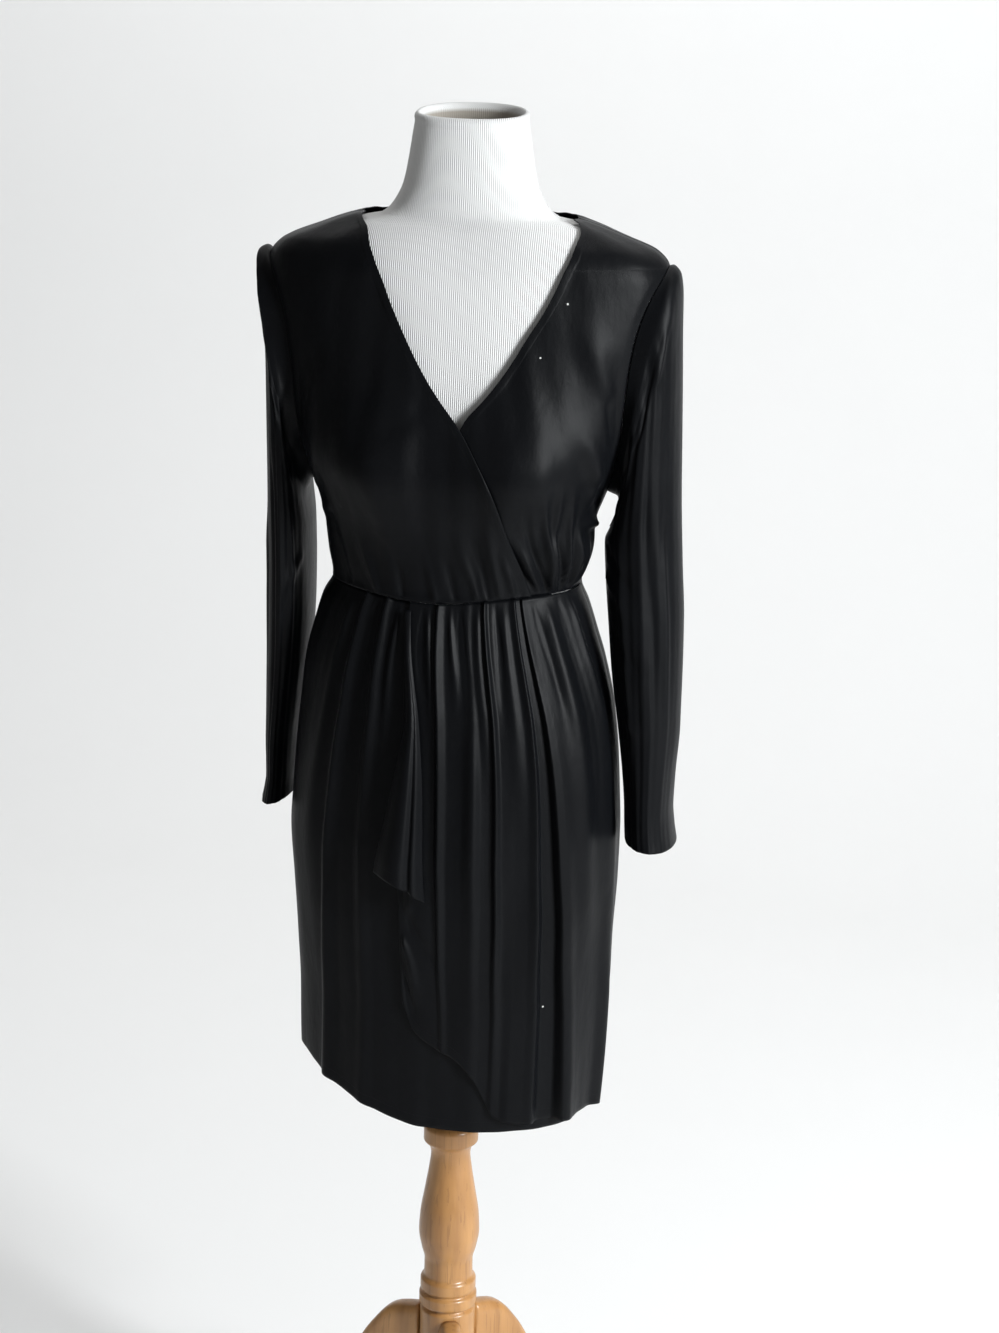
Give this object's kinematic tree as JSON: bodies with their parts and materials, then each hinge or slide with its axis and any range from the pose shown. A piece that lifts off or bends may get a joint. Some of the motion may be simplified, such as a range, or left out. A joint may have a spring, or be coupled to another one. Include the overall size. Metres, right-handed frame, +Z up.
{
  "type": "long-sleeved wrap dress on a dress form stand",
  "caption": "Black jersey wrap dress with a V neck, long sleeves and a draped wrap skirt, on a limbless knit-covered dress form with a turned wooden tripod stand.",
  "frame": {"origin": "on the floor, under the middle of the object's box", "axes": "+Z up, -Y towards the front of the dress, +X towards the wearer's left"},
  "size_m": [0.536, 0.525, 1.6192],
  "materials": {
    "jersey": "fine black knit with a soft satin sheen",
    "form_knit": "white ribbed knit, matt",
    "oak": "honey oak under satin varnish"
  },
  "bodies": {
    "root": {"bodice_front_right": "jersey", "bodice_front_left": "jersey", "bodice_back": "jersey", "sleeve_right": "jersey", "sleeve_left": "jersey", "skirt_front_over": "jersey", "skirt_front_under": "jersey", "skirt_back": "jersey", "skirt_cascade": "jersey", "form_body": "form_knit", "stand_post": "oak", "stand_leg_1": "oak", "stand_leg_2": "oak", "stand_leg_3": "oak"}
  },
  "joints": []
}
